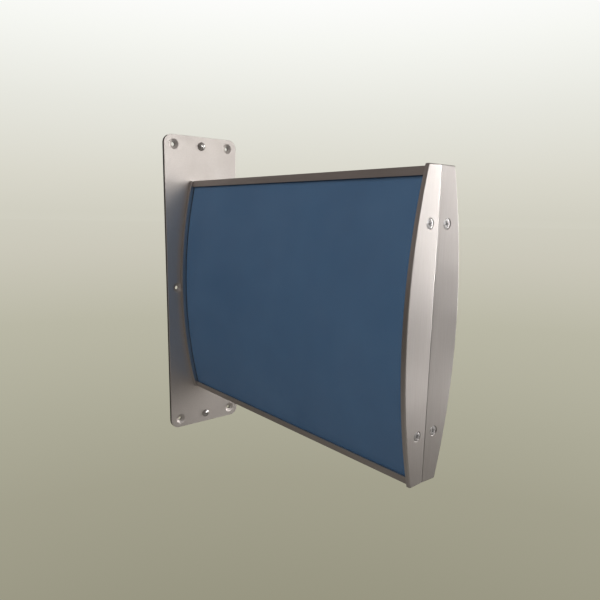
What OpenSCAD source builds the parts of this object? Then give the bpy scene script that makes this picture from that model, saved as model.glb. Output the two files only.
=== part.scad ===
// Double-sided projecting sign for a shop wall: two curved sign frames stand back to back,
// edge-on to an upright wall plate, and each holds a sheet behind a clear cover.
// The sign stands out along -Y, X is its thickness and Z is up. The origin is the middle
// of the face that lies on the wall.

/* [Wall plate] */
// Width of the wall plate
plate_w = 86; // [80:1:110]
// Height of the wall plate
plate_h = 314; // [306:1:360]
// Thickness of the wall plate
plate_t = 1.5; // [1.2:0.1:2]
// Corner radius of the wall plate
plate_r = 9; // [4:0.5:14]
// Thickness of the black pad behind the plate
pad_t = 2.5; // [2.3:0.1:4]
// Radius of a wall-screw hole
wall_hole_r = 2; // [1.8:0.05:2.6]
// Radius of the pressed dish round a wall-screw hole
dish_r = 5.8; // [5:0.1:6]
// Half the distance between the left and right columns of wall-screw holes
wall_hole_x = 32; // [30:0.5:36]
// Height of the top and bottom holes above and below the middle
wall_hole_z = 147.5; // [135:0.5:148]

/* [Sign body] */
// Height of an outer end cap
cap_h = 226; // [220:1:240]
// Half the sign's thickness at its top and bottom
edge_half_t = 14.2; // [13:0.1:18]
// Half the sign's thickness at mid height
mid_half_t = 28.3; // [26:0.1:32]
// Length of a frame extrusion, from cap to cap
frame_len = 300; // [200:1:600]
// How far the caps stand proud of the extrusions
proud = 1.5; // [1:0.1:2.5]

/* [Extrusions] */
// Wall thickness of the extrusions
wall_t = 1.6; // [1.2:0.1:2]
// Thickness of the lips that hold the sheets
lip_t = 1.5; // [1:0.1:2]
// Half the height of the face left open between the lips
open_half_h = 105.5; // [100:0.5:107]

/* [Sheets] */
// Thickness of the coloured sheet
insert_t = 1; // [0.5:0.1:1]
// Thickness of the clear cover
cover_t = 0.8; // [0.5:0.1:0.8]

/* [End caps] */
// Thickness of an end cap on the wall plate
wall_cap_t = 5; // [4:0.5:8]
// Thickness of an outer end cap at the seam
end_cap_t = 2.6; // [2.4:0.1:4]
// Angle by which an outer cap's face falls back towards the seam, in degrees
face_tilt = 2; // [0:0.5:3]
// Height of an end cap on the wall plate
wall_cap_h = 223.6; // [223:0.1:226]
// Rounding of a cap's outer edge
cap_edge_r = 1.1; // [0.3:0.1:2.5]
// Distance of the cap screws from the seam
port_x = 9.2; // [8.5:0.1:9.5]
// Height of the cap screws above and below the middle
port_z = 74.5; // [60:0.5:80]

/* [Hidden] */
$fn = 64;

// the sign's curved side is one arc: its radius, and how far its centre lies past the seam
sag = mid_half_t - edge_half_t;
arc_r = ((cap_h / 2) ^ 2 + sag ^ 2) / (2 * sag);
arc_x = arc_r - mid_half_t;
arc_fn = 720;

// stations along Y, from the wall outwards
pad_y = -pad_t;
plate_y = pad_y - plate_t;
wall_cap_y = plate_y - wall_cap_t;
frame_y = wall_cap_y - frame_len;
cap_gap = 0.1;
end_cap_y = frame_y - cap_gap;
seam_y = end_cap_y - end_cap_t;
end_screw_y = seam_y - port_x * tan(face_tilt);

// depths below the caps' curved outline
frame_half_h = cap_h / 2 - proud;
groove_t = 2;
cover_in = proud + lip_t + 0.1;
insert_in = cover_in + cover_t;
web_in = proud + lip_t + groove_t;
sheet_half_h = frame_half_h - wall_t - 1;
sheet_end = 1;

// joiner and the channel that it slides in
chan_w = 14;
chan_d = 4.5;
chan_wall = 1.4;
slot_w = 5.2;
slide_fit = 0.1;

// M4 screws
m4_r = 2;
m4_hole_r = 2.05;
port_r = 4;
csk_r = 4;
csk_sink = 0.4;
csk_rim = 0.15;
head_fit = 0.05;
csk_head_r = csk_r - csk_sink - csk_rim - head_fit;
csk_over = 0.5;
pan_r = 4.3;
pan_h = 2.9;
low_head_r = 3.7;
low_head_h = 2;
pad_pocket_r = 4.6;
plate_screw_hole_r = 2.25;
seam_gap = 0.2;
seam_chamfer = 0.6;

silver = [0.74, 0.72, 0.70];
zinc = [0.82, 0.82, 0.83];
black = [0.06, 0.06, 0.06];
blue = [0.20, 0.29, 0.38];
clear = [0.85, 0.9, 0.95, 0.25];

// a flat shape drawn in X and Z, drawn out from y = from towards the sign's outer end
module out_from(from, len) {
    translate([0, from, 0]) rotate([90, 0, 0]) linear_extrude(len) children();
}

// everything is drawn for the left half, at negative X, and mirrored for the right
module on_side(right) {
    if (right) mirror([1, 0, 0]) children();
    else children();
}

// left half of the sign's outline, shrunk by a depth below the curve, up to a half height
module half_lens(depth, half_h) {
    intersection() {
        translate([arc_x, 0]) circle(arc_r - depth, $fn = arc_fn);
        translate([-mid_half_t - 1, -half_h]) square([mid_half_t + 1, 2 * half_h]);
    }
}

// a curved layer between two depths below the outline
module layer(depth, thick, half_h) {
    difference() {
        half_lens(depth, half_h);
        translate([arc_x, 0]) circle(arc_r - depth - thick, $fn = arc_fn);
    }
}

module rounded_rect(w, h, r) {
    square([w, h - 2 * r], center = true);
    square([w - 2 * r, h], center = true);
    for (x = [-1, 1], z = [-1, 1]) translate([x * (w / 2 - r), z * (h / 2 - r)]) circle(r);
}

// cross recess of a screw, cut down from z = 0
module cross_recess(across, depth) {
    for (a = [0, 90]) rotate([0, 0, a]) translate([0, 0, -depth / 2 + 0.5])
        cube([across, across / 4.6, depth + 1], center = true);
    translate([0, 0, -depth]) cylinder(h = depth + 1, r1 = across / 7, r2 = across / 3.1, $fn = 24);
}

// low cylinder-head screw: the head stands on z = 0 and the shank runs along -Z
module low_head_screw(len) {
    difference() {
        union() {
            cylinder(h = low_head_h - 0.4, r = low_head_r);
            translate([0, 0, low_head_h - 0.4]) cylinder(h = 0.4, r1 = low_head_r, r2 = low_head_r - 0.4);
            translate([0, 0, -len]) cylinder(h = len + 0.5, r = m4_r);
        }
        translate([0, 0, low_head_h]) cross_recess(4.4, 1.4);
    }
}

// countersunk screw with its flat head's top at z = 0 and its shank along -Z
module countersunk_screw(len) {
    difference() {
        union() {
            translate([0, 0, -csk_rim]) cylinder(h = csk_rim, r = csk_head_r);
            translate([0, 0, -csk_rim - csk_head_r + m4_r])
                cylinder(h = csk_head_r - m4_r, r1 = m4_r, r2 = csk_head_r);
            translate([0, 0, -len]) cylinder(h = len - csk_rim, r = m4_r);
        }
        cross_recess(4.4, 1.7);
    }
}

// pan-head screw: the head stands on z = 0 and the shank runs along -Z
module pan_screw(len) {
    dome_r = (pan_r ^ 2 + (pan_h - 0.9) ^ 2) / (2 * (pan_h - 0.9));
    difference() {
        union() {
            cylinder(h = 0.9, r = pan_r);
            intersection() {
                translate([0, 0, pan_h - dome_r]) sphere(dome_r, $fn = 96);
                cylinder(h = pan_h, r = pan_r);
            }
            translate([0, 0, -len]) cylinder(h = len + 0.5, r = m4_r);
        }
        translate([0, 0, pan_h]) cross_recess(3.4, 1.7);
    }
}

// hole for a countersunk screw: a right-angled cone, csk_r wide at z = 0
module countersunk_hole(depth) {
    translate([0, 0, -depth - 1]) cylinder(h = depth + 2, r = m4_hole_r);
    translate([0, 0, m4_hole_r - csk_r])
        cylinder(h = csk_r - m4_hole_r + csk_over, r1 = m4_hole_r, r2 = csk_r + csk_over);
}

// points down the dish, from its rim on the plate's face: a soft bend, then a cone to the hole
dish_bend_r = 2.4;
dish_slope = 29;
dish_steps = 8;
dish_bend = [for (i = [0 : dish_steps]) let (a = dish_slope * i / dish_steps)
    [dish_r - dish_bend_r * sin(a), -dish_bend_r * (1 - cos(a))]];
dish_end = dish_bend[dish_steps];
dish_depth = -dish_end[1] + (dish_end[0] - wall_hole_r) * tan(dish_slope);
dish_curve = concat(dish_bend, [[wall_hole_r, -dish_depth]]);
dish_wall = 1.1;

// what the press takes out of the plate's face, and the hole
module dish_cut() {
    rotate_extrude() polygon(concat([[0, 0.5], [dish_r, 0.5]], dish_curve,
        [[wall_hole_r, -dish_depth - 4], [0, -dish_depth - 4]]));
}

// the dish's back, which stands out behind the plate
module dish_back() {
    rotate_extrude() polygon(concat([[0, -0.6], [dish_r, -0.6]], [for (p = dish_curve) p - [0, plate_t]],
        [[wall_hole_r, -dish_depth - dish_wall], [0, -dish_depth - dish_wall]]));
}

module wall_hole_spots() {
    for (x = [-1, 1], z = [-1, 0, 1]) translate([x * wall_hole_x, 0, z * wall_hole_z]) children();
}

module plate_screw_spots() {
    for (z = [-1, 1]) translate([0, 0, z * wall_hole_z]) children();
}

module port_spots() {
    for (z = [-1, 1]) translate([-port_x, 0, z * port_z]) children();
}

// upper half of a disc, for rounding an edge
module half_disc(r) {
    intersection() {
        circle(r, $fn = 48);
        translate([-r, 0]) square([2 * r, r]);
    }
}

// cap of height h for one half of the sign: flat back on z = 0, rounded outer edge at z = t,
// drawn with the sign's height along local Y
module cap_solid(t, h) {
    e = cap_edge_r;
    intersection() {
        translate([arc_x, 0, 0]) rotate_extrude($fn = arc_fn) {
            square([arc_r - e, t]);
            square([arc_r, t - e]);
            translate([arc_r - e, t - e]) half_disc(e);
        }
        translate([-mid_half_t - 1, 0, 0]) rotate([90, 0, 90]) linear_extrude(mid_half_t + 1 - seam_gap) {
            translate([-h / 2 + e, 0]) square([h - 2 * e, t]);
            translate([-h / 2, 0]) square([h, t - e]);
            for (z = [-1, 1]) translate([z * (h / 2 - e), t - e]) half_disc(e);
        }
    }
}

module cap_body(t, h) {
    difference() {
        cap_solid(t, h);
        translate([-seam_gap, 0, t]) rotate([0, 45, 0])
            cube([seam_chamfer * 1.41, cap_h + 2, seam_chamfer * 1.41], center = true);
    }
}

// how far the pad's outline lies inside the plate's, and what is left of it under a dish
pad_inset = 0.1;
pad_floor = 0.5;

module wall_pad() {
    color(black) difference() {
        out_from(0, pad_t)
            rounded_rect(plate_w - 2 * pad_inset, plate_h - 2 * pad_inset, plate_r - pad_inset);
        wall_hole_spots() rotate([90, 0, 0]) {
            translate([0, 0, pad_floor]) cylinder(h = pad_t, r = dish_r + 0.4);
            translate([0, 0, -1]) cylinder(h = pad_floor + 2, r = wall_hole_r);
        }
        plate_screw_spots() rotate([90, 0, 0])
            translate([0, 0, -1]) cylinder(h = pad_t + 2, r = plate_screw_hole_r);
        for (right = [false, true]) on_side(right) port_spots()
            rotate([90, 0, 0]) translate([0, 0, -1]) cylinder(h = pad_t + 2, r = pad_pocket_r);
    }
}

module wall_plate() {
    color(silver) difference() {
        union() {
            out_from(pad_y, plate_t) rounded_rect(plate_w, plate_h, plate_r);
            translate([0, plate_y, 0]) wall_hole_spots() rotate([90, 0, 0]) dish_back();
        }
        translate([0, plate_y, 0]) wall_hole_spots() rotate([90, 0, 0]) dish_cut();
        translate([0, plate_y, 0]) plate_screw_spots() rotate([90, 0, 0])
            translate([0, 0, -plate_t - 1]) cylinder(h = plate_t + 2, r = plate_screw_hole_r);
        for (right = [false, true]) on_side(right) translate([0, plate_y - 1, 0]) port_spots()
            rotate([-90, 0, 0]) cylinder(h = plate_t + 2, r = m4_hole_r);
    }
}

// the shank stops at the wall plane
module plate_screw(z) {
    color(zinc) translate([0, plate_y, z]) rotate([90, 0, 0]) pan_screw(plate_t + pad_t - 0.2);
}

module wall_cap(right) {
    color(silver) on_side(right) difference() {
        translate([0, wall_cap_y, 0]) mirror([0, 1, 0]) rotate([90, 0, 0]) cap_body(wall_cap_t, wall_cap_h);
        port_spots() translate([0, wall_cap_y - 1, 0])
            rotate([-90, 0, 0]) cylinder(h = wall_cap_t + 2, r = m4_hole_r);
    }
}

// from the back of the plate, through the wall cap and into the extrusion's port;
// the head stands in a pocket of the pad
module body_screw(right, z) {
    color(zinc) on_side(right) translate([-port_x, pad_y, z * port_z]) rotate([-90, 0, 0]) low_head_screw(20);
}

// curved extrusion: skin, top and bottom walls with lips, and two legs with screw port and channel
module frame_section() {
    intersection() {
        half_lens(proud, frame_half_h);
        union() {
            layer(web_in, wall_t, frame_half_h);
            for (z = [-1, 1]) {
                translate([-mid_half_t, z * (frame_half_h - wall_t / 2) - wall_t / 2])
                    square([mid_half_t - 0.05, wall_t]);
                intersection() {
                    layer(proud, lip_t, frame_half_h);
                    translate([-mid_half_t, z > 0 ? open_half_h : -frame_half_h])
                        square([mid_half_t, frame_half_h - open_half_h]);
                }
                translate([0, z * port_z]) leg_section();
            }
        }
    }
}

module leg_section() {
    skin_x = mid_half_t - web_in - wall_t / 2 - (port_z ^ 2) / (2 * arc_r);
    difference() {
        union() {
            translate([-port_x, 0]) circle(port_r);
            translate([-skin_x, -1]) square([skin_x - port_x, 2]);
            translate([-port_x, -2]) square([port_x - chan_d + 0.5, 4]);
            translate([-chan_d, -chan_w / 2]) square([chan_d - 0.05, chan_w]);
        }
        translate([-port_x, 0]) circle(m4_hole_r);
        translate([-chan_d + chan_wall, -chan_w / 2 + chan_wall])
            square([chan_d - 2 * chan_wall, chan_w - 2 * chan_wall]);
        translate([-chan_wall - 0.5, -slot_w / 2]) square([chan_wall + 1, slot_w]);
    }
}

module sign_frame(right) {
    color(silver) on_side(right) out_from(wall_cap_y, frame_len) frame_section();
}

// double-T strip that slides into both extrusions and locks them back to back
module joiner(z) {
    flange_w = chan_w - 2 * chan_wall - 2 * slide_fit;
    flange_x = chan_d - chan_wall - slide_fit;
    color(silver) out_from(wall_cap_y - sheet_end, frame_len - 2 * sheet_end) translate([0, z * port_z]) {
        for (s = [-1, 1]) translate([s * (flange_x + chan_wall + slide_fit) / 2, 0])
            square([flange_x - chan_wall - slide_fit, flange_w], center = true);
        square([2 * (chan_wall + slide_fit) + 0.4, slot_w - 2 * slide_fit], center = true);
    }
}

module insert_sheet(right) {
    color(blue) on_side(right) out_from(wall_cap_y - sheet_end, frame_len - 2 * sheet_end)
        layer(insert_in, insert_t, sheet_half_h);
}

module cover_sheet(right) {
    color(clear) on_side(right) out_from(wall_cap_y - sheet_end, frame_len - 2 * sheet_end)
        layer(cover_in, cover_t, sheet_half_h);
}

// a thicker cap is turned about the seam and its back cut flat, so that its face falls back to the seam
module end_cap(right) {
    spare_t = 2;
    reach = mid_half_t + 5;
    color(silver) on_side(right) difference() {
        intersection() {
            translate([0, seam_y, 0]) rotate([0, 0, face_tilt]) translate([0, end_cap_t + spare_t, 0])
                rotate([90, 0, 0]) cap_body(end_cap_t + spare_t, cap_h);
            translate([-reach, end_cap_y - 10, -cap_h / 2 - 1]) cube([reach - seam_gap, 10, cap_h + 2]);
        }
        port_spots() translate([0, end_screw_y, 0]) rotate([90, 0, 0]) countersunk_hole(end_cap_t + 1);
    }
}

module end_screw(right, z) {
    color(zinc) on_side(right) translate([-port_x, end_screw_y + csk_sink, z * port_z])
        rotate([90, 0, 0]) countersunk_screw(16);
}

wall_pad();
wall_plate();
plate_screw(wall_hole_z);  // plate_screw_top
plate_screw(-wall_hole_z);  // plate_screw_bottom
wall_cap(false);  // wall_cap_left
wall_cap(true);  // wall_cap_right
body_screw(false, 1);  // body_screw_left_top
body_screw(false, -1);  // body_screw_left_bottom
body_screw(true, 1);  // body_screw_right_top
body_screw(true, -1);  // body_screw_right_bottom
sign_frame(false);  // frame_left
sign_frame(true);  // frame_right
joiner(1);  // joiner_top
joiner(-1);  // joiner_bottom
insert_sheet(false);  // insert_left
insert_sheet(true);  // insert_right
cover_sheet(false);  // cover_left
cover_sheet(true);  // cover_right
end_cap(false);  // end_cap_left
end_cap(true);  // end_cap_right
end_screw(false, 1);  // end_screw_left_top
end_screw(false, -1);  // end_screw_left_bottom
end_screw(true, 1);  // end_screw_right_top
end_screw(true, -1);  // end_screw_right_bottom
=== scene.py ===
import math

import bmesh
import bpy
from mathutils import Matrix, Vector


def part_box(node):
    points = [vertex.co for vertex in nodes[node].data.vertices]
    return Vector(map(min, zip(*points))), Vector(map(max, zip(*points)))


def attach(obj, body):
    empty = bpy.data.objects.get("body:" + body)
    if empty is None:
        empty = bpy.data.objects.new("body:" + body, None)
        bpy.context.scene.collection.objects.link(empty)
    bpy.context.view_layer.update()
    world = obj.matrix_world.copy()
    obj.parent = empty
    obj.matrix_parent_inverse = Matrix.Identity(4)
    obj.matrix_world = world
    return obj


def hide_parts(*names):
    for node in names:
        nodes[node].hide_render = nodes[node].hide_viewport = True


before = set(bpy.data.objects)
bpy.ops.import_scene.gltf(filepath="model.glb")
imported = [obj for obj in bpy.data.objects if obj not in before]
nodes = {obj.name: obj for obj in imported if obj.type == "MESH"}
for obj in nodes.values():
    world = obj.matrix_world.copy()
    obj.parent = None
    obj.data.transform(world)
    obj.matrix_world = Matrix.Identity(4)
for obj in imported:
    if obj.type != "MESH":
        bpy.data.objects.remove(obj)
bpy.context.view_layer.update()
scene = bpy.context.scene
mm = 0.001

# ---------------------------------------------------------------- camera
# The eye is a little above the sign's middle, out to its left and in front of its outer end.
camera = bpy.data.cameras.new("camera")
camera.sensor_width = 36
camera.lens = 33.82
camera.shift_x = 0.0033
camera.shift_y = 0.0446
camera.clip_start = 0.02
camera.clip_end = 60
camera_object = bpy.data.objects.new("camera", camera)
scene.collection.objects.link(camera_object)
yaw = Matrix.Rotation(math.radians(-40.07), 4, "Z")
pitch = Matrix.Rotation(math.radians(78.75), 4, "X")
roll = Matrix.Rotation(math.radians(0.99), 4, "Z")
camera_object.matrix_world = Matrix.Translation((-0.3184, -0.5458, 0.0789)) @ yaw @ pitch @ roll
scene.camera = camera_object


# ---------------------------------------------------------------- lights and stage
# A plain studio: a tall strip light far out on the right, a soft panel in front, a soft fill from
# the left, and a floor well below the sign that looks pale to the eye by a painted glow. The room is pale
# to the eye but lights dimly.
def add_soft_light(name, azimuth, elevation, distance, size, radiance, colour, mirrored=True):
    """Azimuth is measured from straight out of the wall towards the sign's right side."""
    around, up = math.radians(azimuth), math.radians(elevation)
    aim = Vector((0, -0.2, 0))
    light = bpy.data.lights.new(name, "AREA")
    light.shape = "RECTANGLE"
    light.size, light.size_y = size
    light.energy = radiance * math.pi * size[0] * size[1]
    light.color = colour
    lamp = bpy.data.objects.new(name, light)
    scene.collection.objects.link(lamp)
    way = Vector((math.cos(up) * math.sin(around), -math.cos(up) * math.cos(around), math.sin(up)))
    lamp.location = aim + distance * way
    lamp.rotation_euler = (-way).to_track_quat("-Z", "Y").to_euler()
    lamp.visible_glossy = mirrored


add_soft_light("strip_light", 67, 6, 3.8, (0.25, 2.1), 18, (1.0, 0.965, 0.94))
add_soft_light("front_panel", 20, 14, 2.6, (1.4, 1.2), 2.6, (1.0, 0.98, 0.955))
add_soft_light("low_panel", 60, -24, 2.6, (1.1, 0.8), 1.1, (1.0, 0.965, 0.94))
add_soft_light("left_fill", -72, 32, 2.2, (2.4, 2.0), 2.05, (1.0, 0.98, 0.96), mirrored=False)


def tone_ramp(tree, value, stops):
    """A ramp through stops of (place, colour), with the colours in linear light."""
    ramp = tree.nodes.new("ShaderNodeValToRGB")
    points = ramp.color_ramp.elements
    while len(points) < len(stops):
        points.new(0.5)
    for point, (place, colour) in zip(points, stops):
        point.position = place
        point.color = (*colour, 1)
    tree.links.new(value, ramp.inputs["Fac"])
    return ramp.outputs["Color"]


horizon = (0.637, 0.623, 0.537)
sky = [(0.0, horizon), (0.058, (0.694, 0.680, 0.597)), (0.17, (0.799, 0.799, 0.737)),
       (0.271, (0.922, 0.930, 0.888)), (0.33, (0.99, 0.99, 0.98))]
walls = [(0.0, (0.170, 0.149, 0.138)), (0.35, (0.170, 0.149, 0.138)), (0.95, (0.40, 0.375, 0.36))]
world = bpy.data.worlds.new("studio")
scene.world = world
world.use_nodes = True
room = world.node_tree
room.nodes.clear()
compass = room.nodes.new("ShaderNodeTexCoord")
height = room.nodes.new("ShaderNodeSeparateXYZ")
room.links.new(compass.outputs["Generated"], height.inputs[0])
backdrop = room.nodes.new("ShaderNodeBackground")
room.links.new(tone_ramp(room, height.outputs["Z"], sky), backdrop.inputs["Color"])
facing = room.nodes.new("ShaderNodeVectorMath")
facing.operation = "DOT_PRODUCT"
facing.inputs[1].default_value = (0.74, -0.67, 0)
room.links.new(compass.outputs["Generated"], facing.inputs[0])
dim_walls = room.nodes.new("ShaderNodeBackground")
room.links.new(tone_ramp(room, facing.outputs["Value"], walls), dim_walls.inputs["Color"])
sight = room.nodes.new("ShaderNodeLightPath")
either = room.nodes.new("ShaderNodeMixShader")
room.links.new(sight.outputs["Is Camera Ray"], either.inputs["Fac"])
room.links.new(dim_walls.outputs[0], either.inputs[1])
room.links.new(backdrop.outputs[0], either.inputs[2])
way_out = room.nodes.new("ShaderNodeOutputWorld")
room.links.new(either.outputs[0], way_out.inputs["Surface"])

# The floor's tone to the eye is a painted glow, not lamp light: darkest round the spot below the eye and
# paling to the horizon colour far off. Other rays meet a dark matt floor.
floor_drop = 0.9
glow_centre = (-0.32, -0.55)
floor_glow_tones = [(0.0, horizon), (0.065, (0.597, 0.578, 0.491)), (0.186, (0.491, 0.479, 0.381)),
               (0.364, (0.413, 0.402, 0.310)), (0.50, (0.365, 0.352, 0.266)), (0.70, (0.325, 0.313, 0.232)),
               (0.90, (0.29, 0.28, 0.20))]
bpy.ops.object.select_all(action="DESELECT")
bpy.ops.mesh.primitive_plane_add(size=400, location=(0, 0, -floor_drop))
floor = bpy.context.object
floor.name = "floor"
floor_finish = bpy.data.materials.new("pale_floor_painted_glow")
floor_finish.use_nodes = True
paper = floor_finish.node_tree
matt = paper.nodes["Principled BSDF"]
matt.inputs["Base Color"].default_value = (0.27, 0.26, 0.24, 1)
matt.inputs["Roughness"].default_value = 1.0
spot = paper.nodes.new("ShaderNodeTexCoord")
centre = paper.nodes.new("ShaderNodeMapping")
centre.inputs["Location"].default_value = (-glow_centre[0], -glow_centre[1], 0)
paper.links.new(spot.outputs["Object"], centre.inputs["Vector"])
reach = paper.nodes.new("ShaderNodeVectorMath")
reach.operation = "LENGTH"
paper.links.new(centre.outputs["Vector"], reach.inputs[0])
flare = paper.nodes.new("ShaderNodeMath")
flare.operation = "DIVIDE"
flare.inputs[0].default_value = 1.0
paper.links.new(reach.outputs["Value"], flare.inputs[1])
glow = paper.nodes.new("ShaderNodeEmission")
paper.links.new(tone_ramp(paper, flare.outputs[0], floor_glow_tones), glow.inputs["Color"])
sight = paper.nodes.new("ShaderNodeLightPath")
either = paper.nodes.new("ShaderNodeMixShader")
paper.links.new(sight.outputs["Is Camera Ray"], either.inputs["Fac"])
paper.links.new(matt.outputs[0], either.inputs[1])
paper.links.new(glow.outputs[0], either.inputs[2])
paper.links.new(either.outputs[0], paper.nodes["Material Output"].inputs["Surface"])
floor.data.materials.append(floor_finish)

scene.view_settings.view_transform = "Standard"


# ---------------------------------------------------------------- wall pad
# A sheet of black foam rubber between the plate and the wall, die-cut with round holes and with
# a blind pocket behind each pressed dish. The plate's screws clamp it. Its near-black tone is the
# foam's own colour and also paints the dark line of shade along the plate's edge.
def new_piece_from_cube(name, low, high):
    bpy.ops.object.select_all(action="DESELECT")
    bpy.ops.mesh.primitive_cube_add(size=1, location=(low + high) / 2)
    piece = bpy.context.object
    piece.name = name
    piece.data.name = name
    piece.scale = high - low
    bpy.ops.object.transform_apply(location=True, rotation=True, scale=True)
    return piece


def pick(piece, kind, wanted):
    """In edit mode, selects the piece's edges or faces that pass the test."""
    bpy.ops.mesh.select_mode(type=kind)
    bpy.ops.mesh.select_all(action="DESELECT")
    shape = bmesh.from_edit_mesh(piece.data)
    parts = shape.edges if kind == "EDGE" else shape.faces
    for part in parts:
        part.select_set(wanted(part))
    shape.select_flush_mode()
    bmesh.update_edit_mesh(piece.data)


def bevel_edges(piece, wanted, width, segments):
    bpy.context.view_layer.objects.active = piece
    bpy.ops.object.mode_set(mode="EDIT")
    pick(piece, "EDGE", wanted)
    bpy.ops.mesh.bevel(offset=width, segments=segments, profile=0.5, affect="EDGES")
    bpy.ops.object.mode_set(mode="OBJECT")


def runs_along(edge, axis):
    way = edge.verts[1].co - edge.verts[0].co
    return abs(way[axis]) > 0.999 * way.length


def turned(name, first, steps, place, outward, sides=48):
    """A shape turned on a lathe along Y: from the first (height, radius) step by step to the last."""
    bpy.ops.object.select_all(action="DESELECT")
    (low, radius), (height, next_radius) = first, steps[0]
    bpy.ops.mesh.primitive_cone_add(vertices=sides, radius1=radius, radius2=next_radius, depth=height - low,
                                    location=(0, 0, (low + height) / 2))
    piece = bpy.context.object
    piece.name = name
    piece.data.name = name
    bpy.ops.object.transform_apply(location=True, rotation=True, scale=True)
    bpy.ops.object.mode_set(mode="EDIT")
    pick(piece, "FACE",
         lambda face: len(face.verts) == sides and face.calc_center_median().z > height - 0.001 * mm)
    radius = next_radius
    for step_height, step_radius in steps[1:]:
        bpy.ops.mesh.extrude_region_move(TRANSFORM_OT_translate={"value": (0, 0, step_height - height)})
        grow = step_radius / radius
        bpy.ops.transform.resize(value=(grow, grow, 1), center_override=(0, 0, step_height))
        height, radius = step_height, step_radius
    bpy.ops.object.mode_set(mode="OBJECT")
    piece.rotation_euler = (math.radians(90 * outward), 0, 0)
    piece.location = place
    bpy.ops.object.transform_apply(location=True, rotation=True, scale=True)
    return piece


def cut(piece, cutters):
    for cutter in cutters:
        boolean = piece.modifiers.new("cut", "BOOLEAN")
        boolean.operation = "DIFFERENCE"
        boolean.solver = "EXACT"
        boolean.object = cutter
        bpy.context.view_layer.objects.active = piece
        bpy.ops.object.modifier_apply(modifier=boolean.name)
        bpy.data.objects.remove(cutter)


def smooth_off(piece, angle):
    bpy.ops.object.select_all(action="DESELECT")
    piece.select_set(True)
    bpy.context.view_layer.objects.active = piece
    bpy.ops.object.shade_smooth_by_angle(angle=math.radians(angle))
    weigh = piece.modifiers.new("weigh", "WEIGHTED_NORMAL")
    weigh.keep_sharp = True
    weigh.weight = 90
    bpy.ops.object.modifier_apply(modifier=weigh.name)


plate_low, plate_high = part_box("wall_plate")
pad_low, pad_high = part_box("wall_pad")
plate_face = plate_low.y
pad_face = pad_low.y
corner = 9 * mm
hole_x = 32 * mm
hole_z = 147.5 * mm
hole_radius = 2 * mm
plain_hole_radius = 2.25 * mm
clear_radius = 2.05 * mm
dish_radius = 5.8 * mm
pocket_radius = dish_radius + 0.4 * mm
head_pocket_radius = 4.6 * mm
pad_floor = 0.5 * mm
a_hair = 0.01 * mm
port_x = 9.2 * mm
port_z = 74.5 * mm
wall_holes = [(x, z) for x in (-hole_x, hole_x) for z in (-hole_z, 0, hole_z)]
plain_holes = [(0, -hole_z), (0, hole_z)]
ports_of = {side: [(side * port_x, z) for z in (-port_z, port_z)] for side in (-1, 1)}
ports = ports_of[-1] + ports_of[1]


def bores(name, radius, bottom, top, base, spots):
    """Straight cutters along Y, from bottom to top above the base, one at each (x, z) spot."""
    return [turned(name, (bottom, radius), [(top, radius)], (x, base, z), 1) for x, z in spots]



pad = new_piece_from_cube("wall_pad_foam", pad_low, pad_high)
bevel_edges(pad, lambda edge: runs_along(edge, 1), corner - 0.1 * mm, 12)
stepped = [(pad_floor, hole_radius), (pad_floor + a_hair, pocket_radius), (4 * mm, pocket_radius)]
cut(pad, [turned("punch", (-1 * mm, hole_radius), stepped, (x, 0, z), 1) for x, z in wall_holes]
    + bores("punch", head_pocket_radius, -1 * mm, 4 * mm, 0, ports)
    + bores("punch", plain_hole_radius, -1 * mm, 4 * mm, 0, plain_holes))
bevel_edges(pad, lambda edge: edge.calc_face_angle(0) > 1.2, 0.2 * mm, 2)
smooth_off(pad, 35)


def new_finish(name, metallic, roughness):
    finish = bpy.data.materials.new(name)
    finish.use_nodes = True
    shader = finish.node_tree.nodes["Principled BSDF"]
    shader.inputs["Metallic"].default_value = metallic
    shader.inputs["Roughness"].default_value = roughness
    return finish, finish.node_tree, shader


def coordinates(tree, scale):
    place = tree.nodes.new("ShaderNodeTexCoord")
    mapping = tree.nodes.new("ShaderNodeMapping")
    mapping.inputs["Scale"].default_value = scale
    tree.links.new(place.outputs["Object"], mapping.inputs["Vector"])
    return mapping.outputs["Vector"]


def feed(tree, socket, value):
    """Gives a socket its value: a link from another socket, a colour or a number."""
    if isinstance(value, bpy.types.NodeSocket):
        tree.links.new(value, socket)
    elif socket.type == "RGBA":
        socket.default_value = (*value, 1)
    else:
        socket.default_value = value


def noise(tree, vector, scale, detail=3.0, breakup=0.5):
    pattern = tree.nodes.new("ShaderNodeTexNoise")
    for name, value in (("Vector", vector), ("Scale", scale), ("Detail", detail), ("Roughness", breakup)):
        feed(tree, pattern.inputs[name], value)
    return pattern.outputs["Fac"]


def spread(tree, value, low, high, start=0.3, end=0.7):
    """Maps the middle of a pattern's range to low and high."""
    mapping = tree.nodes.new("ShaderNodeMapRange")
    for name, setting in (("Value", value), ("From Min", start), ("From Max", end),
                          ("To Min", low), ("To Max", high)):
        feed(tree, mapping.inputs[name], setting)
    return mapping.outputs["Result"]


def mix_colours(tree, share, first, second):
    mixer = tree.nodes.new("ShaderNodeMix")
    mixer.data_type = "RGBA"
    for name, kind, value in (("Factor", "VALUE", share), ("A", "RGBA", first), ("B", "RGBA", second)):
        feed(tree, next(s for s in mixer.inputs if s.name == name and s.type == kind), value)
    return next(s for s in mixer.outputs if s.type == "RGBA")


def bump(tree, shader, height, distance, strength):
    relief = tree.nodes.new("ShaderNodeBump")
    relief.inputs["Distance"].default_value = distance
    relief.inputs["Strength"].default_value = strength
    tree.links.new(height, relief.inputs["Height"])
    tree.links.new(relief.outputs["Normal"], shader.inputs["Normal"])


def new_group(name, inputs, outputs):
    """An empty node group. Its sockets are given as a kind (Vector, Color or Float) for each name."""
    group = bpy.data.node_groups.new(name, "ShaderNodeTree")
    for way, sockets in (("INPUT", inputs), ("OUTPUT", outputs)):
        for socket, kind in sockets.items():
            group.interface.new_socket(socket, in_out=way, socket_type="NodeSocket" + kind)
    return group, group.nodes.new("NodeGroupInput").outputs, group.nodes.new("NodeGroupOutput").inputs


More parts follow.
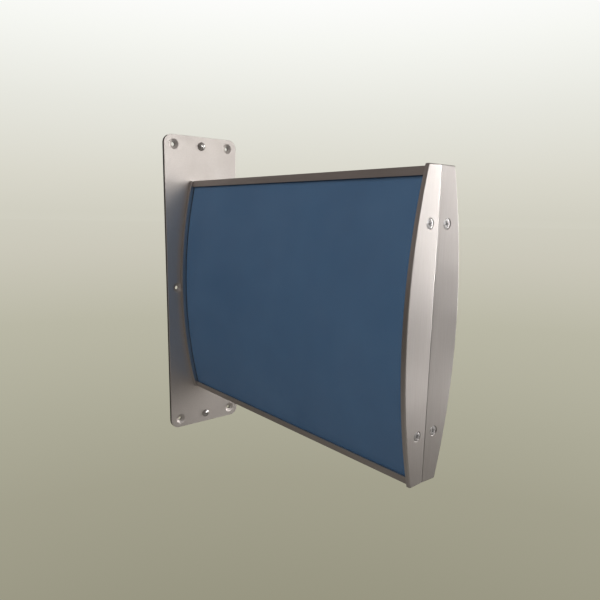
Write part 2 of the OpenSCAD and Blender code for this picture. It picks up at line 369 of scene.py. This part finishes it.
def use_group(tree, group, settings):
    node = tree.nodes.new("ShaderNodeGroup")
    node.node_tree = group
    for name, value in settings.items():
        feed(tree, node.inputs[name], value)
    return node.outputs


def dress(tree, shader, tone, roughness):
    tree.links.new(tone, shader.inputs["Base Color"])
    tree.links.new(roughness, shader.inputs["Roughness"])


# Near-black foam with darker pores: the foam's own colour, and also painted shade for the dark line along
# the plate's edge.
foam, tree, shader = new_finish("black_foam_and_painted_shade", 0.0, 0.85)
even = coordinates(tree, (1, 1, 1))
pores = tree.nodes.new("ShaderNodeTexVoronoi")
pores.inputs["Scale"].default_value = 1400
tree.links.new(even, pores.inputs["Vector"])
cells = spread(tree, pores.outputs["Distance"], 0.0, 1.0, 0.0, 0.7)
tone = mix_colours(tree, cells, (0.006, 0.006, 0.006), (0.02, 0.019, 0.018))
dress(tree, shader, tone, spread(tree, noise(tree, even, 90), 0.75, 0.95))
bump(tree, shader, cells, 0.15 * mm, 0.6)
pad.data.materials.append(foam)
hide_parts("wall_pad")
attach(pad, "sign")


# ---------------------------------------------------------------- wall plate
# Thin sheet metal in satin silver paint. Six holes for countersunk wall screws are pressed in as
# soft-edged dishes, and two plain ones take pan-head screws.
def rubbed_edges_group():
    """Rubbed edges: a mask that is 1 where a sharp edge is near, broken up by a fine pattern."""
    group, given, wanted = new_group(
        "rubbed_edges", {"Coordinates": "Vector", "Reach": "Float", "Amount": "Float"}, {"Wear": "Float"})
    rounded = group.nodes.new("ShaderNodeBevel")
    rounded.samples = 6
    group.links.new(given["Reach"], rounded.inputs["Radius"])
    true_normal = group.nodes.new("ShaderNodeNewGeometry")
    turn = group.nodes.new("ShaderNodeVectorMath")
    turn.operation = "DOT_PRODUCT"
    group.links.new(rounded.outputs["Normal"], turn.inputs[0])
    group.links.new(true_normal.outputs["Normal"], turn.inputs[1])
    worn = spread(group, turn.outputs["Value"], 1.0, 0.0, 0.75, 0.995)
    scuffs = spread(group, noise(group, given["Coordinates"], 420, 4.0, 0.6), 0.0, 1.0, 0.35, 0.65)
    for share in (scuffs, given["Amount"]):
        times = group.nodes.new("ShaderNodeMath")
        times.operation = "MULTIPLY"
        group.links.new(worn, times.inputs[0])
        group.links.new(share, times.inputs[1])
        worn = times.outputs[0]
    group.links.new(worn, wanted["Wear"])
    return group


def fine_grain_group():
    """Fine grain: a tone that wavers between a dark and a light one, and the same grain as a height."""
    group, given, wanted = new_group(
        "fine_grain",
        {"Coordinates": "Vector", "Scale": "Float", "Detail": "Float", "Breakup": "Float",
         "Dark": "Color", "Light": "Color"},
        {"Tone": "Color", "Height": "Float"})
    grain = noise(group, given["Coordinates"], given["Scale"], given["Detail"], given["Breakup"])
    tone = mix_colours(group, spread(group, grain, 0.0, 1.0), given["Dark"], given["Light"])
    group.links.new(tone, wanted["Tone"])
    group.links.new(grain, wanted["Height"])
    return group


def hand_smears_group():
    """Smears from handling: slow clouds that dull the tone a little and change the roughness."""
    group, given, wanted = new_group(
        "hand_smears",
        {"Coordinates": "Vector", "Scale": "Float", "Detail": "Float", "Breakup": "Float",
         "Amount": "Float", "Clean": "Color", "Dull": "Color", "Smooth": "Float", "Rough": "Float"},
        {"Tone": "Color", "Roughness": "Float"})
    cloud = noise(group, given["Coordinates"], given["Scale"], given["Detail"], given["Breakup"])
    tone = mix_colours(group, spread(group, cloud, 0.0, given["Amount"]), given["Clean"], given["Dull"])
    group.links.new(tone, wanted["Tone"])
    group.links.new(spread(group, cloud, given["Smooth"], given["Rough"]), wanted["Roughness"])
    return group


rubbed_edges = rubbed_edges_group()
fine_grain = fine_grain_group()
hand_smears = hand_smears_group()

dish_bend = 2.4 * mm
dish_slope = math.radians(29)
dish_steps = 8
dish_wall = 1.1 * mm
dish_sides = 64
sheet_t = 1.5 * mm
bend = [(-dish_bend * (1 - math.cos(turn)), dish_radius - dish_bend * math.sin(turn))
        for turn in (dish_slope * i / dish_steps for i in range(dish_steps, -1, -1))]
dish_depth = -bend[0][0] + (bend[0][1] - hole_radius) * math.tan(dish_slope)
dish_back = [(height - sheet_t, radius) for height, radius in bend] + [(-0.7 * mm, dish_radius)]
dish_front = [(-dish_depth, hole_radius)] + bend + [(0.5 * mm, dish_radius + a_hair)]

plate = new_piece_from_cube("wall_plate_sheet", Vector((plate_low.x, plate_face, plate_low.z)),
                            Vector((plate_high.x, pad_face, plate_high.z)))
bevel_edges(plate, lambda edge: runs_along(edge, 1), corner, 14)
for x, z in wall_holes:
    back = turned("dish_back", (-dish_depth - dish_wall, hole_radius + 0.4 * mm), dish_back,
                  (x, plate_face, z), 1, dish_sides)
    join = plate.modifiers.new("join", "BOOLEAN")
    join.operation = "UNION"
    join.solver = "EXACT"
    join.object = back
    bpy.context.view_layer.objects.active = plate
    bpy.ops.object.modifier_apply(modifier=join.name)
    bpy.data.objects.remove(back)
press = [turned("dish_press", (-6 * mm, hole_radius), dish_front, (x, plate_face, z), 1, dish_sides)
         for x, z in wall_holes]
cut(plate, press + bores("drill", plain_hole_radius, -4 * mm, 1 * mm, plate_face, plain_holes)
    + bores("drill", clear_radius, -4 * mm, 1 * mm, plate_face, ports))


def on_outline(edge):
    """Right-angled edges of the plate's outline, and the short ones round its corners."""
    out_x = max(abs(v.co.x) for v in edge.verts)
    out_z = max(abs(v.co.z) for v in edge.verts)
    at_side = out_x > plate_high.x - 0.1 * mm
    near_corner = out_x > plate_high.x - corner - 0.2 * mm and out_z > plate_high.z - corner - 0.2 * mm
    return edge.calc_face_angle(0) > 1.4 and (at_side or near_corner)


bevel_edges(plate, on_outline, 0.3 * mm, 2)
smooth_off(plate, 30)

silver_paint, tree, shader = new_finish("silver_paint", 0.85, 0.47)
even = coordinates(tree, (1, 1, 1))
flake = use_group(tree, fine_grain, {
    "Coordinates": even, "Scale": 2600, "Detail": 2, "Breakup": 0.6,
    "Dark": (0.66, 0.625, 0.595), "Light": (0.79, 0.755, 0.725)})
smears = use_group(tree, hand_smears, {
    "Coordinates": even, "Scale": 38, "Detail": 4, "Breakup": 0.55, "Amount": 0.25,
    "Clean": flake["Tone"], "Dull": (0.62, 0.575, 0.545), "Smooth": 0.43, "Rough": 0.52})
wear = use_group(tree, rubbed_edges, {"Coordinates": even, "Reach": 0.8 * mm, "Amount": 0.6})["Wear"]
dress(tree, shader, mix_colours(tree, wear, smears["Tone"], (0.80, 0.79, 0.78)), smears["Roughness"])
bump(tree, shader, flake["Height"], 0.02 * mm, 0.35)
plate.data.materials.append(silver_paint)
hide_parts("wall_plate")
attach(plate, "sign")


# ---------------------------------------------------------------- plate screws
# Two bright pan-head machine screws with cross recesses, one above and one below the sign. Their
# heads are turned and polished, and they are driven through plain holes in the plate.
def cross_punch(across, depth, place, outward):
    """A four-winged driver tip that is driven into a screw's head."""
    wings = []
    for quarter in (0, 90):
        bpy.ops.object.select_all(action="DESELECT")
        bpy.ops.mesh.primitive_cube_add(size=1, location=(0, 0, 0.5 * mm - depth / 2))
        wing = bpy.context.object
        wing.scale = (across, across / 4.4, depth + 1 * mm)
        wing.rotation_euler = (0, 0, math.radians(quarter + 20))
        bpy.ops.object.transform_apply(location=True, rotation=True, scale=True)
        bpy.ops.object.mode_set(mode="EDIT")
        pick(wing, "FACE", lambda face: face.normal.z < -0.9)
        bpy.ops.transform.resize(value=(0.45, 0.45, 1), center_override=(0, 0, -depth))
        bpy.ops.object.mode_set(mode="OBJECT")
        wing.rotation_euler = (math.radians(90 * outward), 0, 0)
        wing.location = place
        bpy.ops.object.transform_apply(location=True, rotation=True, scale=True)
        wings.append(wing)
    return wings


def threads(start, end, pitch=0.7 * mm, root=1.65 * mm, crest=2.0 * mm):
    """Steps of a cut thread along a shank, from start up to end."""
    turns = int((end - start) / pitch)
    steps = []
    for turn in range(turns):
        base = start + turn * pitch
        steps += [(base + 0.1 * pitch, root), (base + 0.5 * pitch, crest), (base + 0.6 * pitch, crest)]
    return steps + [(end, root)]


def dome(radius, rise, base, count):
    """Steps up a rounded head, from its rim to its crown."""
    ball = (radius ** 2 + rise ** 2) / (2 * rise)
    sweep = math.asin(radius / ball)
    return [(base + rise - ball + ball * math.cos(turn), ball * math.sin(turn))
            for turn in (sweep * (count - i) / count for i in range(count))]


bright, tree, shader = new_finish("bright_chrome", 1.0, 0.2)
rings = coordinates(tree, (1, 0.15, 1))
smears = use_group(tree, hand_smears, {
    "Coordinates": rings, "Scale": 500, "Detail": 3, "Breakup": 0.5, "Amount": 1,
    "Clean": (0.86, 0.86, 0.85), "Dull": (0.70, 0.69, 0.68), "Smooth": 0.14, "Rough": 0.26})
dress(tree, shader, smears["Tone"], smears["Roughness"])
bump(tree, shader, noise(tree, rings, 3200, 3, 0.6), 0.01 * mm, 0.2)

pan_radius = 4.3 * mm
pan_rim = 0.9 * mm
pan_rise = 2 * mm
pan_top = pan_rim + pan_rise
shank = 2 * mm
core = 1.3 * mm
crown = dome(pan_radius, pan_rise, pan_rim, 8) + [(pan_top, 0.2 * mm)]
under_head = [(0.0, shank), (a_hair, pan_radius - 0.25 * mm), (0.2 * mm, pan_radius)]
for end, z in (("top", hole_z), ("bottom", -hole_z)):
    screw = turned("plate_screw_bright_" + end, (-3.8 * mm, core),
                   threads(-3.6 * mm, -0.2 * mm) + under_head + crown, (0, plate_face, z), 1, 64)
    cut(screw, cross_punch(3.4 * mm, 1.6 * mm, (0, plate_face - pan_top, z), 1))
    smooth_off(screw, 32)
    screw.data.materials.append(bright)
    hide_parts("plate_screw_" + end)
    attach(screw, "sign")

# ---------------------------------------------------------------- end caps
# Half-lens caps sawn and milled from flat aluminium, their faces brushed upright and anodised
# silver. Each half of the sign has one cap on the wall plate and one on its outer end.
end_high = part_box("end_cap_left")[1]
cap_half_h = end_high.z
wall_cap_low, wall_cap_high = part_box("wall_cap_left")
mid_half = -wall_cap_low.x
edge_half = 14.2 * mm
sag = mid_half - edge_half
arc_r = (cap_half_h ** 2 + sag ** 2) / (2 * sag)
arc_x = arc_r - mid_half
seam_gap = 0.2 * mm
cap_round = 1.1 * mm


def half_lens(name, side, near_y, far_y, half_h, seam_bevel):
    """A flat half-lens from near_y out to far_y, cut from a disc, with its far edge rounded."""
    bpy.ops.object.select_all(action="DESELECT")
    bpy.ops.mesh.primitive_cylinder_add(vertices=720, radius=arc_r, depth=abs(far_y - near_y),
                                        location=(-side * arc_x, (near_y + far_y) / 2, 0),
                                        rotation=(math.radians(90), 0, 0))
    piece = bpy.context.object
    piece.name = name
    piece.data.name = name
    bpy.ops.object.transform_apply(location=True, rotation=True, scale=True)
    bpy.ops.object.mode_set(mode="EDIT")
    for place, normal in (((side * seam_gap, 0, 0), (-side, 0, 0)), ((0, 0, half_h), (0, 0, 1)),
                          ((0, 0, -half_h), (0, 0, -1))):
        bpy.ops.mesh.select_all(action="SELECT")
        bpy.ops.mesh.bisect(plane_co=place, plane_no=normal, use_fill=True, clear_outer=True)
    bpy.ops.object.mode_set(mode="OBJECT")

    def at_outer_corner(edge):
        return runs_along(edge, 1) and all(
            abs(v.co.z) > half_h - a_hair and abs(v.co.x) > 5 * mm for v in edge.verts)

    def on_far_face(edge):
        return all(abs(v.co.y - far_y) < a_hair for v in edge.verts)

    def on_seam(edge):
        return all(abs(v.co.x) < seam_gap + a_hair for v in edge.verts)

    def on_far_rim(edge):
        return on_far_face(edge) and not on_seam(edge) and edge.calc_face_angle(0) > 1.0

    bevel_edges(piece, at_outer_corner, 1.0 * mm, 5)
    bevel_edges(piece, on_far_rim, cap_round, 4)
    bevel_edges(piece, lambda edge: on_far_face(edge) and on_seam(edge), seam_bevel, 1)
    return piece


brushed, tree, shader = new_finish("brushed_anodised", 1.0, 0.33)
even = coordinates(tree, (1, 1, 1))
streaks = use_group(tree, fine_grain, {
    "Coordinates": coordinates(tree, (1, 1, 0.02)), "Scale": 2400, "Detail": 5, "Breakup": 0.65,
    "Dark": (0.69, 0.665, 0.65), "Light": (0.77, 0.745, 0.73)})
bands = noise(tree, coordinates(tree, (1, 1, 0.05)), 260, 3, 0.5)
banded = mix_colours(tree, spread(tree, bands, 0.0, 0.2), streaks["Tone"], (0.66, 0.62, 0.60))
smears = use_group(tree, hand_smears, {
    "Coordinates": even, "Scale": 30, "Detail": 3, "Breakup": 0.5, "Amount": 0.08,
    "Clean": banded, "Dull": (0.60, 0.57, 0.55), "Smooth": 0.30, "Rough": 0.35})
wear = use_group(tree, rubbed_edges, {"Coordinates": even, "Reach": 0.7 * mm, "Amount": 0.7})["Wear"]
dress(tree, shader, mix_colours(tree, wear, smears["Tone"], (0.86, 0.85, 0.84)), smears["Roughness"])
bump(tree, shader, streaks["Height"], 0.01 * mm, 0.15)

for hand, side in (("left", -1), ("right", 1)):
    cap = half_lens("wall_cap_plate_" + hand, side, wall_cap_low.y, plate_face, wall_cap_high.z, 0.2 * mm)
    cut(cap, bores("drill", clear_radius, -1 * mm, 7 * mm, plate_face, ports_of[side]))
    smooth_off(cap, 32)
    cap.data.materials.append(brushed)
    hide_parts("wall_cap_" + hand)
    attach(cap, "sign")

end_back = end_high.y
face_tilt = math.radians(2)
end_cap_t = 2.6 * mm
spare = 2 * mm
seam_face = end_back - end_cap_t
screw_face = seam_face - port_x * math.tan(face_tilt)
sink_radius = 4 * mm
sink_over = 0.5 * mm
sink = [(clear_radius - sink_radius, clear_radius), (sink_over, sink_radius + sink_over)]
for hand, side in (("left", -1), ("right", 1)):
    cap = half_lens("end_cap_plate_" + hand, side, end_back + spare, seam_face, cap_half_h, 0.6 * mm)
    cap.matrix_world = Matrix.Translation((0, seam_face, 0)) @ Matrix.Rotation(-side * face_tilt, 4, "Z") \
        @ Matrix.Translation((0, -seam_face, 0))
    bpy.ops.object.select_all(action="DESELECT")
    cap.select_set(True)
    bpy.context.view_layer.objects.active = cap
    bpy.ops.object.transform_apply(location=True, rotation=True, scale=True)
    bpy.ops.object.mode_set(mode="EDIT")
    for place, normal in (((0, end_back, 0), (0, 1, 0)), ((side * seam_gap, 0, 0), (-side, 0, 0))):
        bpy.ops.mesh.select_all(action="SELECT")
        bpy.ops.mesh.bisect(plane_co=place, plane_no=normal, use_fill=True, clear_outer=True)
    bpy.ops.object.mode_set(mode="OBJECT")
    cut(cap, [turned("countersink", (-6 * mm, clear_radius), sink, (x, screw_face, z), 1, 64)
              for x, z in ports_of[side]])
    smooth_off(cap, 32)
    cap.data.materials.append(brushed)
    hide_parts("end_cap_" + hand)
    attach(cap, "end_cap_" + hand)

# ---------------------------------------------------------------- body screws
# Low-headed zinc-plated screws from behind the plate, through the wall caps into the extrusions.
# Their heads stand in pockets of the pad, so only the back shows them.
zinc, tree, shader = new_finish("zinc_plate", 1.0, 0.28)
rings = coordinates(tree, (1, 0.15, 1))
smears = use_group(tree, hand_smears, {
    "Coordinates": rings, "Scale": 420, "Detail": 3, "Breakup": 0.5, "Amount": 1,
    "Clean": (0.80, 0.80, 0.81), "Dull": (0.62, 0.62, 0.63), "Smooth": 0.22, "Rough": 0.34})
dress(tree, shader, smears["Tone"], smears["Roughness"])
bump(tree, shader, noise(tree, rings, 2600, 3, 0.6), 0.01 * mm, 0.25)

low_head_r = 3.7 * mm
low_head_h = 2 * mm
low_head = [(0.0, shank), (a_hair, low_head_r - 0.15 * mm), (0.15 * mm, low_head_r),
            (low_head_h - 0.5 * mm, low_head_r), (low_head_h - 0.15 * mm, low_head_r - 0.2 * mm),
            (low_head_h, low_head_r - 0.6 * mm)]
for hand, side in (("left", -1), ("right", 1)):
    for end, z in (("top", port_z), ("bottom", -port_z)):
        screw = turned("body_screw_zinc_" + hand + "_" + end, (-20 * mm, core),
                       threads(-19.8 * mm, -2 * mm) + low_head, (side * port_x, pad_face, z), -1, 48)
        cut(screw, cross_punch(4.4 * mm, 1.4 * mm, (side * port_x, pad_face + low_head_h, z), -1))
        smooth_off(screw, 32)
        screw.data.materials.append(zinc)
        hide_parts("body_screw_" + hand + "_" + end)
        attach(screw, "sign")

# ---------------------------------------------------------------- end screws
# Countersunk zinc-plated cross-recess screws that hold the outer caps to the extrusions' ports.
# Each head sits a hair below the cap's brushed face, in a conical hole with a clean rim.
end_screw_top = screw_face + 0.4 * mm
flat_head_r = 3.4 * mm
flat_head_swell = 0.02 * mm
flat_head = [(shank - flat_head_r - 0.15 * mm, shank), (-0.15 * mm, flat_head_r), (-0.05 * mm, flat_head_r),
             (0.0, flat_head_r - 0.1 * mm), (flat_head_swell, flat_head_r - 1 * mm)]
for hand, side in (("left", -1), ("right", 1)):
    for end, z in (("top", port_z), ("bottom", -port_z)):
        screw = turned("end_screw_zinc_" + hand + "_" + end, (-16 * mm, core),
                       threads(-15.8 * mm, -1.7 * mm) + flat_head, (side * port_x, end_screw_top, z), 1, 64)
        cut(screw, cross_punch(4.4 * mm, 1.7 * mm, (side * port_x, end_screw_top - flat_head_swell, z), 1))
        smooth_off(screw, 32)
        screw.data.materials.append(zinc)
        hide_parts("end_screw_" + hand + "_" + end)
        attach(screw, "end_cap_" + hand)

# ---------------------------------------------------------------- frame extrusions and joiners
# Curved channels extruded in aluminium and anodised silver: fine die lines run their whole length.
# Double-T strips slid in at top and bottom lock the two channels back to back.
satin, tree, shader = new_finish("satin_anodised", 1.0, 0.41)
die_lines = use_group(tree, fine_grain, {
    "Coordinates": coordinates(tree, (1, 0.015, 1)), "Scale": 1800, "Detail": 5, "Breakup": 0.6,
    "Dark": (0.60, 0.565, 0.545), "Light": (0.74, 0.70, 0.68)})
smears = use_group(tree, hand_smears, {
    "Coordinates": coordinates(tree, (1, 0.4, 1)), "Scale": 60, "Detail": 3, "Breakup": 0.5, "Amount": 0.3,
    "Clean": die_lines["Tone"], "Dull": (0.56, 0.52, 0.50), "Smooth": 0.36, "Rough": 0.46})
even = coordinates(tree, (1, 1, 1))
wear = use_group(tree, rubbed_edges, {"Coordinates": even, "Reach": 0.5 * mm, "Amount": 0.6})["Wear"]
dress(tree, shader, mix_colours(tree, wear, smears["Tone"], (0.82, 0.80, 0.79)), smears["Roughness"])
bump(tree, shader, die_lines["Height"], 0.02 * mm, 0.3)


def merged_copy(name, node):
    """A copy of a CAD node as one skin: its triangles joined, its flat faces made whole."""
    piece = bpy.data.objects.new(name, nodes[node].data.copy())
    piece.data.name = name
    scene.collection.objects.link(piece)
    bpy.ops.object.select_all(action="DESELECT")
    piece.select_set(True)
    bpy.context.view_layer.objects.active = piece
    bpy.ops.object.mode_set(mode="EDIT")
    bpy.ops.mesh.select_all(action="SELECT")
    bpy.ops.mesh.remove_doubles(threshold=0.001 * mm)
    bpy.ops.mesh.dissolve_limited(angle_limit=math.radians(0.1))
    bpy.ops.object.mode_set(mode="OBJECT")
    piece.data.materials.clear()
    return piece


for node in ("frame_left", "frame_right", "joiner_top", "joiner_bottom"):
    bar = merged_copy(node + "_bar", node)
    ease = bar.modifiers.new("ease", "BEVEL")
    ease.width = 0.2 * mm
    ease.segments = 2
    ease.limit_method = "ANGLE"
    ease.angle_limit = math.radians(50)
    bpy.ops.object.modifier_apply(modifier=ease.name)
    smooth_off(bar, 32)
    bar.data.materials.append(satin)
    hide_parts(node)
    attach(bar, "sign")


# ---------------------------------------------------------------- coloured sheets and clear covers
# A thin blue satin sheet is flexed into each frame behind a clear non-glare cover, and both are
# held by the lips above and below.
def curved_sheet(name, side, depth, thickness):
    """A sheet sprung to the frame's arc, its outer face at the given depth inside the cap's arc."""
    bpy.ops.object.select_all(action="DESELECT")
    bpy.ops.mesh.primitive_cylinder_add(vertices=1080, radius=arc_r - depth, depth=sheet_near - sheet_far,
                                        end_fill_type="NOTHING", rotation=(math.radians(90), 0, 0),
                                        location=(-side * arc_x, (sheet_near + sheet_far) / 2, 0))
    piece = bpy.context.object
    piece.name = name
    piece.data.name = name
    bpy.ops.object.transform_apply(location=True, rotation=True, scale=True)
    bpy.ops.object.mode_set(mode="EDIT")
    for place, normal in (((0, 0, 0), (-side, 0, 0)), ((0, 0, sheet_half), (0, 0, 1)),
                          ((0, 0, -sheet_half), (0, 0, -1))):
        bpy.ops.mesh.select_all(action="SELECT")
        bpy.ops.mesh.bisect(plane_co=place, plane_no=normal, clear_outer=True)
    bpy.ops.object.mode_set(mode="OBJECT")
    wall = piece.modifiers.new("wall", "SOLIDIFY")
    wall.thickness = thickness
    wall.offset = -1
    wall.use_even_offset = True
    bpy.ops.object.modifier_apply(modifier=wall.name)
    smooth_off(piece, 30)
    return piece


proud = 1.5 * mm
lip_t = 1.5 * mm
cover_depth = proud + lip_t + 0.1 * mm
cover_t = 0.8 * mm
insert_t = 0.9 * mm
insert_depth = cover_depth + cover_t + 0.05 * mm
sheet_low, sheet_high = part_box("insert_left")
sheet_half = sheet_high.z
sheet_near = sheet_high.y
sheet_far = sheet_low.y

blue, tree, shader = new_finish("blue_sheet", 0.0, 0.48)
even = coordinates(tree, (1, 1, 1))
mottle = use_group(tree, fine_grain, {
    "Coordinates": even, "Scale": 22, "Detail": 4, "Breakup": 0.55,
    "Dark": (0.066, 0.175, 0.355), "Light": (0.080, 0.205, 0.40)})
fibre = noise(tree, even, 3200, 3, 0.6)
tone = mix_colours(tree, spread(tree, fibre, 0.0, 0.2), mottle["Tone"], (0.10, 0.24, 0.44))
dress(tree, shader, tone, spread(tree, fibre, 0.42, 0.56))
bump(tree, shader, fibre, 0.01 * mm, 0.3)

clear, tree, shader = new_finish("clear_cover", 0.0, 0.32)
shader.inputs["Alpha"].default_value = 0.14
shader.inputs["IOR"].default_value = 1.49
even = coordinates(tree, (1, 1, 1))
haze = use_group(tree, hand_smears, {
    "Coordinates": even, "Scale": 26, "Detail": 3, "Breakup": 0.5, "Amount": 1,
    "Clean": (0.10, 0.12, 0.14), "Dull": (0.14, 0.16, 0.18), "Smooth": 0.28, "Rough": 0.38})
dress(tree, shader, haze["Tone"], haze["Roughness"])
bump(tree, shader, noise(tree, even, 4200, 2, 0.6), 0.01 * mm, 0.3)

for hand, side in (("left", -1), ("right", 1)):
    insert = curved_sheet("insert_blue_" + hand, side, insert_depth, insert_t)
    insert.data.materials.append(blue)
    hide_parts("insert_" + hand)
    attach(insert, "sign")
    cover = curved_sheet("cover_clear_" + hand, side, cover_depth, cover_t)
    cover.data.materials.append(clear)
    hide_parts("cover_" + hand)
    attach(cover, "sign")
